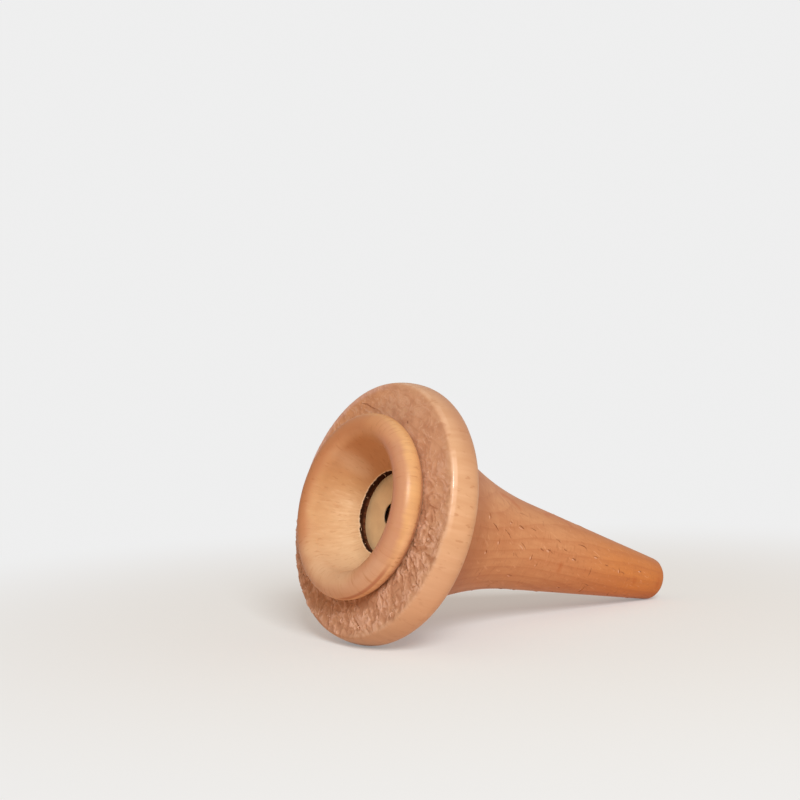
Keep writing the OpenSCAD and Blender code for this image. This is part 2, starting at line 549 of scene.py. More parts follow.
class HornFinish(bpy.types.PropertyGroup):
    """The horn's worn surface and its colours."""

    softness: millimetres("Edge softness", "Rounding that wear has left on the corners", 0.08, 0.02, 0.3)
    tear_depth: millimetres("Tear depth", "Depth of the torn end grain on the flange's face", 0.2, 0, 0.6)
    check_width: millimetres("Check width", "Width of the short checks in the horn", 0.26, 0.1, 0.6)
    smear_width: millimetres("Smear width", "Half width of the reddish smears along the horn", 0.9, 0.1, 2)
    fibres: FloatProperty(
        name="Fibres", description="Torn fibres on each square millimetre of the face, at most",
        default=0.12, min=0, max=2)
    loose_checks: IntProperty(
        name="Loose checks", description="Number of checks strewn round the horn", default=60)
    seed: IntProperty(
        name="Seed", description="Changes which way the fibres and the loose checks fall", default=7)
    face_colour: colour("Face", "Torn end grain of the flange's face", 0.64, 0.38, 0.235)
    edge_colour: colour("Edge", "Long grain round the flange's edge", 0.64, 0.41, 0.24)
    cone_colour: colour("Cone", "Handled long grain of the bell and cone", 0.60, 0.315, 0.155)


class CupFinish(bpy.types.PropertyGroup):
    """The mouth cup's worn surface and its colours."""

    softness: millimetres("Edge softness", "Rounding that wear has left on the corners", 0.07, 0.02, 0.3)
    chip_depth: millimetres("Chip depth", "Depth of the chips round the throat's edge", 0.14, 0, 0.8)
    fibres: IntProperty(
        name="Fibres", description="Places for a torn fibre round the throat", default=15, min=3)
    seed: IntProperty(name="Seed", description="Changes which way the fibres point", default=3)
    rim_colour: colour("Rim", "Outer side of the raised lip ring", 0.70, 0.42, 0.19)
    crest_colour: colour("Crest", "Crest of the lip ring, where lips have worn it", 0.54, 0.285, 0.165)
    bowl_colour: colour("Bowl", "Wood inside the bowl", 0.64, 0.40, 0.205)
    # The throat's near-black is partly the wall's own dark wood and partly painted shade
    throat_colour: colour("Throat", "Dark wall of the throat", 0.035, 0.012, 0.006)


class WhistleFinish(bpy.types.PropertyGroup):
    """The plates and the ring between them."""

    softness: millimetres("Edge softness", "Rounding of the plates' cut edges", 0.05, 0.02, 0.2)
    brass_colour: colour("Brass", "Dull, aged sheet brass", 0.84, 0.64, 0.37)
    ring_colour: colour("Ring", "Plain beech of the spacer ring", 0.62, 0.36, 0.18)


class StageSizes(bpy.types.PropertyGroup):
    """The floor, the light and the camera."""

    floor_colour: colour("Floor", "Pale floor", 0.90, 0.98, 1.0)
    bounce_colour: colour("Bounce", "What the floor throws back at the call", 0.95, 0.72, 0.56)
    background: FloatProperty(
        name="Background", description="How bright the pale background looks to the camera",
        default=0.86, min=0, max=1)
    sky_colour: colour("Sky", "Warm even light from all round", 1.0, 0.72, 0.54)
    sky_level: FloatProperty(
        name="Sky level", description="Strength of the even light", default=0.45, min=0, max=2)
    key_level: FloatProperty(
        name="Key level", description="Share of a colour that the key light alone returns",
        default=0.76, min=0, max=3)
    lens: millimetres("Lens", "Focal length on a 36 mm sensor", 63.1, 10, 300)


# Wood

# Where the tree's heart lay, beside the call's axis, in mm up and to the side
PITH = (-60, -17, 0)
RING_WIDTH = 1.9
# Tone across one growth ring, from its pale early wood to its dark late wood
RING_STOPS = [(0, 0.25), (0.12, 0), (0.55, 0.1), (0.88, 0.75), (0.97, 1), (1, 0.25)]
# How far the slanted cracks turn round the wood for each mm along it, in mm
SLANT = 0.5
# The torn threads of the face fan out from a point up and to the left of it, about this far, in mm
FAN = (30, -25, 0)
FAN_REACH = 52
# A painted patch of light in the shaded upper part of the bowl: up and to the side, in mm
PAINTED_LIGHT_SPOT = (7.3, -6.4, 0)
# Where the flange's edge wood gives way to the redder bell, and how deep the torn face's colour goes, in mm
EDGE_TO_BELL = (5.5, 9.5)
FACE_COLOUR_DEPTH = (0.5, 0.08)


def shaded_place(bench):
    """Where the shaded point lies on the turned piece, from its object coordinates."""
    return Place(bench, bench.node("ShaderNodeMapping", {
        "Vector": bench.node("ShaderNodeTexCoord", out="Object"),
        "Location": -(TO_TURNED @ FACE) / MM,
        "Rotation": TO_TURNED.to_euler(), "Scale": (1 / MM,) * 3}, vector_type="POINT"))


class Beech:
    """The marks that run through a beech blank: rings, pores, rays and slow changes of tone."""

    def __init__(self, bench, at, girth, run=None):
        sway = bench.noise(at.point, (0.12, 0.12, 0.035), detail=1.0)
        from_pith = bench.length(bench.vector("SUBTRACT", at.flat, PITH))
        growth = bench.call("FRACT", (from_pith + sway * 4) / RING_WIDTH)
        self.late = bench.node("ShaderNodeValToRGB", {"Fac": growth}, stops=RING_STOPS)
        skin = at.wrapped(girth, run or at.z)
        self.pores = bench.noise(skin, (2.7, 2.7, 0.5)).rise(0.6, 0.7)
        across = bench.noise(skin, (0.6, 0.6, 2.4))
        self.rays = across.rise(0.58, 0.7)
        self.flecks = across.rise(0.36, 0.28)
        slanted = bench.noise(bench.spun(skin, at.z * (-SLANT / girth)), (1.9, 1.9, 0.45))
        self.cracks = slanted.rise(0.64, 0.74)
        self.lifts = slanted.rise(0.36, 0.27)
        self.fine = bench.noise(skin, (1.7, 1.7, 0.4), detail=3.0)
        self.streaks = bench.noise(skin, (2.4, 2.4, 0.13))
        self.tone = bench.noise(at.point, (0.22, 0.22, 0.08), detail=3.0)


class TornFace:
    """The torn end grain of the flange's face, from 0 to 1, shared by its relief and its colour."""

    def __init__(self, bench, at):
        drift = bench.noise(at.flat, (0.33, 0.33, 1), detail=3.0, out="Color")
        self.low = at.x.rise(10, -6)
        rim = at.radius + (bench.split(drift)[2] - 0.5) * 3 - at.y.rise(4, -8) * 3
        self.bounds = rim.rise(FLANGE_RADIUS - 0.3, FLANGE_RADIUS - 2.4)
        fan = bench.vector("SUBTRACT", at.flat, FAN)
        spread = bench.scaled(bench.vector("NORMALIZE", fan), FAN_REACH)
        raked = bench.vector("ADD", spread, bench.join(0, 0, bench.length(fan)))
        raked = bench.vector("ADD", raked, bench.scaled(drift, 3.8))
        blotch = bench.noise(raked, (0.4, 0.4, 0.35))
        self.curl = blotch * 0.4 + bench.noise(raked, (0.64, 0.64, 0.42), detail=1.0, twist=1.6) * 0.6
        self.hollow = self.curl.rise(0.48, 0.38)
        self.tuft = self.curl.rise(0.5, 0.6)
        self.patch = bench.noise(at.flat, (0.4, 0.45, 1), detail=3.0).rise(0.38, 0.64)
        thread = abs(bench.noise(raked, (0.7, 0.7, 0.5), detail=1.0, twist=1.0) - 0.5)
        self.hook = thread.rise(0.09, 0.01) * self.curl.rise(0.46, 0.54)
        spots = (at.flat, (0.75, 0.9, 1))
        spot = bench.cells(*spots)
        pick = bench.split(bench.cells(*spots, out="Color"))[0]
        self.pit = spot.rise(0.2, 0.08) * pick.rise(0.86, 0.88)
        self.speck = spot.rise(0.17, 0.06) * pick.rise(0.24, 0.22)


def finish_material(name, surface):
    """A material whose Principled shader is fed by surface, which gives socket names and values."""
    material = bpy.data.materials.new(name)
    bench = emptied(material)
    shader = bench.node("ShaderNodeBsdfPrincipled", surface(bench))
    bench.node("ShaderNodeOutputMaterial", {"Surface": shader})
    return material


def relief(bench, height, depth):
    """A normal from a height of 0 to 1 that stands for a depth in millimetres."""
    return bench.node("ShaderNodeBump", {"Strength": 1.0, "Distance": depth * MM, "Height": height})


def edge_wood(bench, finish, at, wood):
    """Cream long grain of the flange's edge, its front corner pale from wear and a painted highlight, with
    painted shade at the top, towards the back and at the bottom.
    """
    # A pale strip along the front corner: partly wear, partly a painted highlight where the corner gleams
    worn = abs(at.z - 0.5).rise(0.55, 0.2) * at.x.rise(-5, 5)
    worn = worn * wood.tone.rise(0.36, 0.5) * (0.55 - at.x.rise(7, 13) * 0.35)
    return bench.coated(
        finish.edge_colour,
        (wood.tone * 0.4, 0.60, 0.31, 0.15),
        (wood.streaks.rise(0.45, 0.7) * 0.22, 0.80, 0.56, 0.36),
        (wood.streaks.rise(0.5, 0.3) * 0.14, 0.48, 0.25, 0.12),
        (wood.pores * 0.45, 0.42, 0.19, 0.08),
        (wood.late * 0.08, 0.45, 0.18, 0.07),
        # Painted shade towards the back of the edge's upper half
        (at.z.rise(0.6, 3.5) * at.x.rise(2, 16) * 0.75, 0.46, 0.24, 0.13),
        # Painted shade at the top
        (at.x.rise(9, 18) * 0.3, 0.50, 0.27, 0.165),
        (at.x.rise(0, -12) * 0.4, 0.66, 0.43, 0.29),
        # The front corner's pale strip: partly wear, partly painted highlight
        (worn, 0.86, 0.62, 0.44),
        # Painted shade at the bottom
        (at.x.rise(-14, -21) * 0.45, 0.52, 0.375, 0.27))


def cone_wood(bench, finish, at, wood):
    """Redder long grain of the bell and the cone, with painted shade above, below, beside the flange and at
    the narrow end.
    """
    patches = bench.noise(at.point, (0.25, 0.25, 0.12)).rise(0.42, 0.6)
    upwards = at.x / at.radius
    return bench.coated(
        finish.cone_colour,
        (at.z.rise(32, 62), 0.60, 0.24, 0.065),
        (wood.tone.rise(0.35, 0.65) * 0.35, 0.48, 0.19, 0.08),
        (wood.fine.rise(0.4, 0.7) * 0.2, 0.42, 0.17, 0.075),
        (wood.late * 0.28, 0.38, 0.12, 0.045),
        (wood.rays * (0.1 + patches * 0.2), 0.34, 0.12, 0.05),
        (wood.flecks * 0.18, 0.76, 0.46, 0.27),
        (wood.cracks * 0.35, 0.33, 0.12, 0.05),
        (wood.lifts * 0.28, 0.80, 0.50, 0.30),
        # Painted shade on the bell beside the flange
        (at.z.rise(20, 12) * 0.55, 0.36, 0.14, 0.06),
        # Painted shade at the narrow end
        (at.z.rise(BODY_LENGTH - 6, BODY_LENGTH - 1) * 0.5, 0.42, 0.145, 0.05),
        # Painted shade on the top and, more faintly, on the underside
        (upwards.rise(0.5, 0.95) * 0.6 + upwards.rise(-0.7, -1) * 0.12, 0.46, 0.17, 0.05))


def face_wood(bench, finish, at, wood, torn):
    """Torn end grain: dark hollows, pale tufts and threads, pits, specks, and fuzz at the far rim."""
    # Painted warm light: the far upper side of the face turns redder, as under warm light thrown back from
    # round it
    warmed = at.y.rise(3, -9) * at.x.rise(-6, 6)
    fuzz = at.radius.rise(FLANGE_RADIUS - 2.1, FLANGE_RADIUS - 1.2) * at.y.rise(2, -6)
    fuzz = fuzz * (1 - at.x.rise(0, -7) * 0.8)
    # Painted shade in the narrow gap round the cup's base
    crevice_shade = at.radius.rise(FOOT_RADIUS + 0.4, FOOT_RADIUS + 0.1)
    return bench.coated(
        finish.face_colour,
        (torn.low * 0.45, 0.46, 0.265, 0.16),
        # Painted warm light on the far upper side
        (warmed * 0.6, 0.60, 0.29, 0.13),
        (torn.patch * 0.45, 0.46, 0.23, 0.14),
        (torn.hollow * (0.15 + torn.low * 0.45), 0.36, 0.16, 0.09),
        (torn.tuft * (0.4 + torn.low * 0.1), 0.74, 0.50, 0.37),
        (torn.hook * (0.05 + torn.low * 0.25), 0.78, 0.54, 0.42),
        (torn.speck * 0.7, 0.90, 0.70, 0.50),
        (torn.pit * 0.75, 0.16, 0.05, 0.03),
        (wood.late * 0.2, 0.38, 0.16, 0.07),
        (fuzz * (0.4 + torn.tuft * 0.4), 0.70, 0.52, 0.48),
        # Painted shade in the gap round the cup's base
        (crevice_shade * 0.3, 0.30, 0.12, 0.05))


def horn_wood(finish):
    """Beech of the horn: torn end grain in front, cream long grain on the edge, redder behind."""

    def surface(bench):
        at = shaded_place(bench)
        wood = Beech(bench, at, 9)
        torn = TornFace(bench, at)
        in_front = (at.z + (torn.curl - 0.5) * (0.4 + at.x.rise(6, 16) * 2)).rise(*FACE_COLOUR_DEPTH)
        in_front = in_front * (0.25 + torn.bounds * 0.75)
        checked = (0.4 + wood.tone.rise(0.4, 0.58) * 0.35) * (1 - in_front * 0.2)
        side = bench.mix(at.z.rise(*EDGE_TO_BELL), edge_wood(bench, finish, at, wood),
                         cone_wood(bench, finish, at, wood))
        plain = (wood.fine * 0.6 - wood.pores * 0.3) * (1 - in_front)
        corner = at.z.rise(0.03, 0.1) * at.z.rise(0.6, 0.25)
        rubbed = bench.noise(at.point, (0.5, 0.5, 0.2), detail=3.0).rise(0.36, 0.56)
        return {
            "Base Color": bench.coated(
                bench.mix(in_front, side, face_wood(bench, finish, at, wood, torn)),
                (bench.mark(SMEAR) * 0.45, 0.44, 0.12, 0.035),
                (bench.mark(CHECK) * checked, 0.26, 0.095, 0.04),
                # Pale torn fibres, and the lips beside the checks, whose paleness is partly painted
                # highlight
                (bench.mark(FIBRE) * (0.55 - in_front * 0.15), 0.78, 0.54, 0.41)),
            "Roughness": 0.40 + in_front * 0.4 + wood.fine * 0.1,
            "Specular IOR Level": 0.1,
            "Coat Weight": corner * rubbed * at.x.rise(-14, -4) * (1 - at.x.rise(6, 13) * 0.85),
            "Coat Roughness": 0.25,
            "Normal": relief(bench, (torn.tuft + torn.hook) * 0.5 * in_front + plain, 0.02),
        }

    return finish_material("Horn beech", surface)


def cup_wood(finish):
    """Beech of the cup: an orange outer side, a worn crest, a smooth bowl and a dark throat, with light and
    shade painted into its colour.
    """

    def surface(bench):
        at = shaded_place(bench)
        wood = Beech(bench, at, 11, at.z - at.radius)
        outwards = at.radius + (wood.fine - 0.5) * 0.6 - at.x.rise(2, -5) * 0.3
        outer = outwards.rise(RIM_RADIUS - 0.9, RIM_RADIUS - 0.15)
        # The upper, far side of the cup, where shade is painted into the colour
        above = (at.x * 0.62 - at.y * 0.78 + (wood.tone - 0.5) * 6).rise(-4.5, 10.5)
        below = (at.x + (wood.tone - 0.5) * 4).rise(-4, -13)
        inwards = at.radius + (wood.tone - 0.5) * 2 + at.y.rise(-5, -12) * 0.3 - below * 1.6
        inner = inwards.rise(RIM_RADIUS - 2.6, RIM_RADIUS - 4.4)
        lips = (1 - inner) * (1 - outer)
        lit = at.x.rise(9.5, 11.5) * at.y.rise(-1, 3)
        shaded = at.radius.rise(RIM_RADIUS - 1.2, RIM_RADIUS - 2.8) * at.y.rise(3, 9)
        # Painted light on the outer side of the lip ring's lower part
        bright = outer * at.x.rise(2, -6) * at.z.rise(-3.2, -2.2)
        crease = abs(at.z + 2.9).rise(0.5, 0.1) * at.radius.rise(RIM_RADIUS - 0.8, RIM_RADIUS - 0.4)
        crease = crease * at.x.rise(-7.5, -11) * at.y.rise(0, 3)
        # Painted light on the bowl's lower, far side, beside the throat
        pale = at.radius.rise(12.5, 8.5) * at.x.rise(5, 0) * at.y.rise(4, -3)
        # Painted patch of light in the shaded upper part of the bowl
        spot = bench.length(bench.vector("SUBTRACT", at.flat, PAINTED_LIGHT_SPOT)).rise(2.7, 0.8)
        brushed = inner * (0.25 + abs(at.x + 1).rise(8, 2) * 0.75)
        ragged = bench.noise(at.point, (1.8, 1.8, 0.6), detail=3.0)
        lip = at.radius + (ragged - 0.5) * 0.2
        chipped = lip.rise(THROAT_RADIUS + 0.34, THROAT_RADIUS + 0.15) * (0.2 + ragged.rise(0.4, 0.55) * 0.6)
        throat = lip.rise(THROAT_RADIUS + 0.18, THROAT_RADIUS + 0.08)
        # Painted light on the lower part of the throat wall, deep below its edge
        worn = at.z.rise(THROAT_EDGE + 0.3, THROAT_EDGE + 1.2) * at.x.rise(6, 0)
        # The throat wall's near-black colour is partly its own dark wood, partly painted shade
        wall = bench.coated(finish.throat_colour, (worn * ragged.rise(0.25, 0.6), 0.19, 0.075, 0.035))
        # Painted shade low on the cup, where it meets the flange's face
        foot_shade = at.z.rise(-0.35, -0.05) * at.radius.rise(FOOT_RADIUS - 0.3, FOOT_RADIUS)
        base = bench.coated(
            bench.mix(outer, bench.mix(inner, finish.crest_colour, finish.bowl_colour), finish.rim_colour),
            # Painted shade on the upper, far side of the lip ring and of the bowl
            (above * lips * 0.72, 0.50, 0.22, 0.092),
            (above * (1 - lips) * 0.45, 0.54, 0.265, 0.11),
            (lit * lips * 0.28, 0.76, 0.44, 0.21),
            (below * 0.6, 0.70, 0.48, 0.32),
            (shaded * 0.5, 0.54, 0.205, 0.10),
            # Painted shade: redder colour in the bowl's shaded upper part
            (inner * at.x.rise(4, 9) * 0.3, 0.64, 0.31, 0.19),
            # Painted light on the lip ring's lower outer side
            (bright * 0.65, 0.86, 0.56, 0.32),
            (crease * 0.75, 0.42, 0.14, 0.07),
            (wood.tone.rise(0.4, 0.65) * 0.2, 0.56, 0.29, 0.15),
            # Painted light in the bowl's lower, far side
            (pale * (0.4 + wood.tone * 0.3), 0.80, 0.60, 0.37),
            # Painted patch of light in the shaded upper bowl
            (spot * inner * 0.4, 0.76, 0.55, 0.36),
            (wood.pores * (0.45 - inner * 0.15), 0.42, 0.18, 0.07),
            (wood.fine.rise(0.42, 0.25) * brushed * 0.25, 0.86, 0.66, 0.44),
            (wood.streaks.rise(0.4, 0.7) * (0.22 - inner * 0.12), 0.50, 0.26, 0.12),
            (wood.fine.rise(0.4, 0.7) * brushed * 0.3, 0.52, 0.28, 0.13),
            (wood.late * 0.06, 0.50, 0.20, 0.08),
            (chipped, 0.92, 0.74, 0.52))
        return {
            "Base Color": bench.coated(
                bench.mix(throat, base, wall),
                # Painted shade where the cup meets the flange's face
                (foot_shade * 0.35, 0.26, 0.10, 0.035),
                (bench.mark(FIBRE), 0.85, 0.66, 0.46)),
            "Roughness": 0.38 + wood.fine * 0.1 + inner * 0.22 + throat * 0.3,
            "Specular IOR Level": 0.05,
            "Coat Weight": (1 - inner) * at.y.rise(2, 9) * 0.4,
            "Coat Roughness": 0.3,
            "Normal": relief(bench, wood.fine * 0.6 + wood.streaks * 0.4 - wood.pores * 0.5, 0.02),
        }

    return finish_material("Cup beech", surface)


def ring_wood(finish):
    """Plain beech of the spacer ring."""

    def surface(bench):
        wood = Beech(bench, shaded_place(bench), 10)
        return {
            "Base Color": bench.coated(
                finish.ring_colour,
                (wood.late * 0.4 + wood.tone * 0.2, 0.40, 0.18, 0.07),
                (wood.pores * 0.45, 0.36, 0.15, 0.06)),
            "Roughness": 0.6 + wood.fine * 0.15,
            "Normal": relief(bench, wood.fine, 0.05),
        }

    return finish_material("Ring beech", surface)


def plate_brass(finish):
    """Dull sheet brass with a brown tarnish and fine scratches."""

    def surface(bench):
        at = shaded_place(bench)
        cloud = bench.noise(at.point, (0.35, 0.35, 0.35), detail=3.0)
        scratch = bench.noise(at.point, (7.0, 0.5, 1.0))
        # Painted shade: the wall of the plate's opening is near-black behind its front edge
        hole_shade = at.radius.rise(HOLE_RADIUS + 0.2, HOLE_RADIUS + 0.05)
        hole_shade = hole_shade * at.z.rise(PLATE_FRONT + 0.15, PLATE_FRONT + 0.3)
        return {
            "Base Color": bench.coated(
                finish.brass_colour,
                (cloud.rise(0.35, 0.7) * 0.25, 0.46, 0.28, 0.13),
                # Painted shade in the plate's opening
                (hole_shade, 0.015, 0.009, 0.006)),
            "Metallic": 0.25,
            "Roughness": 0.5 + scratch * 0.2,
            "Normal": relief(bench, scratch, 0.01),
        }

    return finish_material("Dull brass", surface)


# Horn

# Marks on the side that the camera sees:
# distance from the flange's face in mm, degrees round from the top, length in mm, slant in degrees
SEEN_CHECKS = [
    (16, 77, 1.4, 75), (18, 84, 2.9, 24), (17, 105, 1.1, 60), (22, 86, 3.0, 27), (23, 73, 0.8, 20),
    (27, 57, 2.8, 0), (26, 74, 2.4, 10), (29.5, 71, 2.0, 10), (27, 95, 3.6, 31), (32, 92, 1.6, 15),
    (34, 91, 2.1, 15), (36, 75, 2.4, 15), (32, 112, 0.9, 85), (43, 72, 3.0, 5), (47, 82, 2.2, 5),
    (46, 108, 2.0, 90), (54, 95, 1.5, 60), (55, 96, 1.6, 10), (20, 95, 1.2, 80), (25, 104, 1.3, 75),
    (30, 104, 1.2, 85), (38, 84, 1.6, 20), (41, 94, 1.4, 12), (50, 90, 1.3, 8), (60, 84, 1.2, 5),
]
# Reddish smears, in the same measures
SEEN_SMEARS = [(38, 37, 7, 0), (24, 47, 5, 10), (38, 110, 1.2, 85), (66, 100, 1.2, 90), (59, 108, 0.6, 80)]
# A growth line that the turning has opened on the face: up and to the side, in mm
SEEN_SPLIT = [(18, -9.4), (17.8, -7.6), (17.7, -6.4), (17.1, -4.6), (16.9, -3.4), (16.3, -2), (16, -1.3)]
# Slants that the loose checks take, in degrees
LOOSE_SLANTS = (0, 10, 15, 25, 60, 85)
# Steps in each mark's line, and how strongly it bows: a long line bows more than a short one
MARK_STEPS = 8
MARK_BOW = 0.12
# How deep a check's stick lies in the horn, as a share of its width
CHECK_SUNK = 0.3
# Square millimetres in a square metre
PER_SQUARE_METRE = 1e6


def horn_radius(z):
    """The horn's outer radius at a distance behind the flange."""
    outside = HORN[(HORN[:, 0] > BORE_RADIUS + 0.5) & (HORN[:, 1] > SEAT_DEPTH + 0.5)]
    outside = outside[np.argsort(outside[:, 1])]
    return float(np.interp(z, outside[:, 1], outside[:, 0]))


def loose_checks(finish):
    """Rows like those of the seen checks, strewn over the rest of the horn."""
    draw = random.Random(finish.seed)
    return [(draw.uniform(14, BODY_LENGTH - 4), draw.uniform(130, 390), draw.uniform(0.8, 3),
             draw.choice(LOOSE_SLANTS)) for _ in range(finish.loose_checks)]


def lines_helper(name, paths):
    """Lines, each a list of points in mm, in a helper object that a piece's nodes read."""
    points = []
    edges = []
    for path in paths:
        edges += [(len(points) + i, len(points) + i + 1) for i in range(len(path) - 1)]
        points += [Vector(point) * MM for point in path]
    mesh = bpy.data.meshes.new(name)
    mesh.from_pydata(points, edges, [])
    return placed(name, mesh)


def on_horn(rows, sunk=0.0):
    """Each row as a short bowed line of points on the horn, sunk that deep in it."""
    paths = []
    for z, degrees, length, slant in rows:
        slant = math.radians(slant)
        path = []
        for i in range(MARK_STEPS + 1):
            share = i / MARK_STEPS - 0.5
            bow = MARK_BOW * (0.25 - share * share) * length
            along = z + (share * math.cos(slant) + bow * math.sin(slant)) * length
            radius = horn_radius(along)
            turn = (share * math.sin(slant) - bow * math.cos(slant)) * length / radius
            angle = math.radians(degrees) + turn
            path.append(((radius - sunk) * math.cos(angle), (radius - sunk) * math.sin(angle), along))
        paths.append(path)
    return paths


def horn_fineness(radius, z):
    """Ring spacing in mm and columns folded together, finest on the torn face."""
    if radius < SEAT_RADIUS + 0.2 and z < SEAT_DEPTH + 0.2 or radius < BORE_RADIUS + 0.2:
        return 3.0, 8
    if z < 0.3:
        return (0.19, 1) if radius > FOOT_RADIUS - 0.3 else (0.5, 2)
    return (0.3, 2) if z < 9 else (0.5, 4)


def near_lines(bench, lines, width):
    """1 on a helper's lines, falling to 0 at a distance of width, in mm."""
    near = bench.node("GeometryNodeProximity", {0: bench.shape_of(lines)}, "Distance",
                      target_element="EDGES")
    return bench.node("ShaderNodeClamp", {"Value": 1 - near / (width * MM)})


def wear_horn(bench, piece, given):
    """Tears the face, leaves torn fibres on it, and lets the checks and the raised lips beside them into the
    horn; the lips' paleness is partly painted highlight.
    """
    at = place_in_mm(bench)
    torn = TornFace(bench, at)
    on_face = at.z.rise(0.6, 0.05) * at.radius.rise(SEAT_RADIUS + 1.2, SEAT_RADIUS + 1.8)
    tears = (torn.hollow + (1 - torn.tuft) * 0.8 - torn.hook * 0.5) * (0.1 + torn.low * 0.6) + torn.pit
    waves = bench.noise(at.point, (0.3, 0.3, 0.15))
    smear = near_lines(bench, given["Smears"], given["Smear Width"]).rise(0, 1)
    piece = bench.keep(piece, SMEAR, smear * at.z.rise(9, 10))
    piece = pushed(bench, piece, -(
        waves * 0.04 + tears * on_face * (0.15 + torn.bounds * 0.85) * given["Tear Depth"]))
    woolly = on_face * at.radius.rise(FOOT_RADIUS + 0.6, FOOT_RADIUS + 1) * torn.bounds
    woolly = woolly * at.radius.rise(FLANGE_RADIUS - 1.5, FLANGE_RADIUS - 1.9)
    woolly = woolly * at.z.rise(0.25, 0.2) * (0.08 + at.x.rise(2, -12) * 0.92)
    stems = bench.node("GeometryNodeDistributePointsOnFaces", {
        "Mesh": piece, "Density": woolly * given["Fibres"] * PER_SQUARE_METRE,
        "Seed": given["Seed"]}, "Points", distribute_method="RANDOM")
    piece = with_fibres(
        bench, piece, stems, heading=(-0.5, 0.15, -0.12), spread=(0.8, 0.8, 0.1),
        length=1.0, thickness=0.26, seed=given["Seed"])
    piece = with_strokes(bench, piece, given["Checks"], given["Check Width"], CHECK)
    return with_strokes(bench, piece, given["Lips"], given["Check Width"], FIBRE)


class BIRDCALL_OT_horn(bpy.types.Operator):
    """Turn the horn with its flange, tear its end grain and finish it as beech"""

    bl_idname = "birdcall.horn"
    bl_label = "Horn"

    def execute(self, context):
        finish = context.scene.birdcall_horn
        rows = SEEN_CHECKS + loose_checks(finish)
        sunk = finish.check_width * CHECK_SUNK
        split = [(x, y, sunk) for x, y in SEEN_SPLIT]
        # Every second check has a shorter raised lip just beside it, its paleness partly a painted highlight
        lips = [(z - 0.3, degrees + 1.5, length * 0.6, slant) for z, degrees, length, slant in rows[::2]]
        turned_piece(
            "turned_horn", "horn_body", horn_wood(finish), finish.softness,
            horn_fineness, wear_horn, {
                "Tear Depth": finish.tear_depth,
                "Check Width": finish.check_width,
                "Smear Width": finish.smear_width,
                "Fibres": finish.fibres,
                "Seed": finish.seed,
                "Checks": lines_helper("check_lines", [*on_horn(rows, sunk), split]),
                "Lips": lines_helper("lip_lines", on_horn(lips, sunk)),
                "Smears": lines_helper("smear_lines", on_horn(SEEN_SMEARS))})
        return {"FINISHED"}


# Mouth cup

def cup_fineness(radius, z):
    """Ring spacing in mm and columns folded together, finest at the throat's ragged edge."""
    if z > 0.1 and radius > THROAT_RADIUS + 0.1 and not inside_bowl(radius, z):
        return 0.8, 4
    return (0.1, 1) if z > THROAT_EDGE - 1.2 else (0.22, 2)


def inside_bowl(radius, z):
    """True on the bowl's side of the cup's wall."""
    depth = THROAT_EDGE * (1 - (radius - THROAT_RADIUS) / (FOOT_RADIUS - THROAT_RADIUS))
    return z < depth + 0.6 and radius < SEAT_RADIUS - 0.4


def wear_cup(bench, piece, given):
    """Chips the throat's edge, leaves faint turning marks in the bowl and fibres round the throat."""
    at = place_in_mm(bench)
    waves = bench.noise(at.point, (0.25, 0.25, 0.25))
    turning = bench.call("SINE", at.radius * 9 + waves * 6)
    edge = at.radius.rise(THROAT_RADIUS + 0.6, THROAT_RADIUS) * at.z.rise(THROAT_EDGE + 0.6, THROAT_EDGE)
    chips = bench.noise(at.point, (0.85, 0.85, 0.3), detail=4.0, roughness=0.6).rise(0.44, 0.64)
    piece = pushed(bench, piece, -(
        waves * 0.03 + 0.003 + turning * 0.003
        + edge * chips * (0.4 + at.x.rise(3, -2) * 0.6) * given["Chip Depth"]))
    ring = bench.node("GeometryNodeMeshCircle", {
        "Vertices": given["Fibres"], "Radius": THROAT_RADIUS * MM})
    stems = bench.node("GeometryNodeSetPosition", {
        "Geometry": ring, "Offset": bench.join(0, 0, (THROAT_EDGE + 0.1) * MM)})
    inwards = bench.vector(
        "MULTIPLY", bench.node("GeometryNodeInputPosition"), (-1 / THROAT_RADIUS / MM,) * 3)
    return with_fibres(
        bench, piece, stems, heading=bench.vector("ADD", inwards, (0, 0, 0.5)), spread=(0.8, 0.8, 0.8),
        length=0.6, thickness=0.1, seed=given["Seed"])


class BIRDCALL_OT_mouth_cup(bpy.types.Operator):
    """Turn the mouth cup, chip its throat and finish it as smooth beech"""

    bl_idname = "birdcall.mouth_cup"
    bl_label = "Mouth Cup"

    def execute(self, context):
        finish = context.scene.birdcall_cup
        turned_piece(
            "turned_cup", "mouth_cup", cup_wood(finish), finish.softness,
            cup_fineness, wear_cup,
            {"Chip Depth": finish.chip_depth, "Fibres": finish.fibres, "Seed": finish.seed})
        return {"FINISHED"}


# Whistle

def plate_fineness(radius, z):
    return (0.2, 4) if radius < THROAT_RADIUS + 0.3 else (0.6, 8)


def ring_fineness(radius, z):
    return 0.25, 4


def wear_plate(bench, piece, given):
    """Leaves the sheet slightly uneven, as it was cut and flattened by hand."""
    return pushed(bench, piece, bench.noise(place_in_mm(bench).point, (0.3, 0.3, 0.3)) * -0.04)


def wear_ring(bench, piece, given):
    """Leaves fine turning marks on the ring."""
    return pushed(bench, piece, bench.noise(place_in_mm(bench).point, (1.5, 1.5, 0.4)) * -0.05)


class BIRDCALL_OT_whistle(bpy.types.Operator):
    """Make the two brass plates and the ring that holds them apart"""

    bl_idname = "birdcall.whistle"
    bl_label = "Whistle Plates"

    def execute(self, context):
        finish = context.scene.birdcall_whistle
        brass = plate_brass(finish)
        for node in ("front_plate", "rear_plate"):
            turned_piece(f"whistle_{node}", node, brass, finish.softness,
                         plate_fineness, wear_plate, {})
        turned_piece("whistle_spacer", "spacer_ring", ring_wood(finish),
                     finish.softness, ring_fineness, wear_ring, {})
        return {"FINISHED"}


# Stage

FLOOR_RADIUS = 6.0
